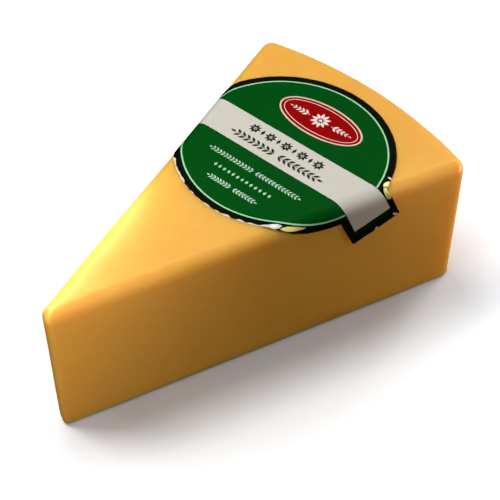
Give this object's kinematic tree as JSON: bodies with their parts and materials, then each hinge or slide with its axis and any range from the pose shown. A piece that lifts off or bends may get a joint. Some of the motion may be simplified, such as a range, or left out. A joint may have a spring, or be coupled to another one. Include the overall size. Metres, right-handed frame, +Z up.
{
  "type": "goat cheese wedge",
  "caption": "Wedge of hard yellow goat's milk cheese cut from a round wheel, with rounded edges and a round green label folded over both cut faces.",
  "frame": {"origin": "middle of the bounding box on the flat underside", "axes": "+X from the tip to the round rind, +Y across the wedge, +Z up from the underside"},
  "size_m": [0.1422, 0.089, 0.0535],
  "materials": {
    "cheese": "smooth waxy cheese, satin, slightly translucent",
    "label_foil": "printed and varnished foil paper, semi-gloss, fields of green, pale grey, red and black"
  },
  "bodies": {
    "root": {"cheese": "cheese", "label": "label_foil"}
  },
  "joints": []
}
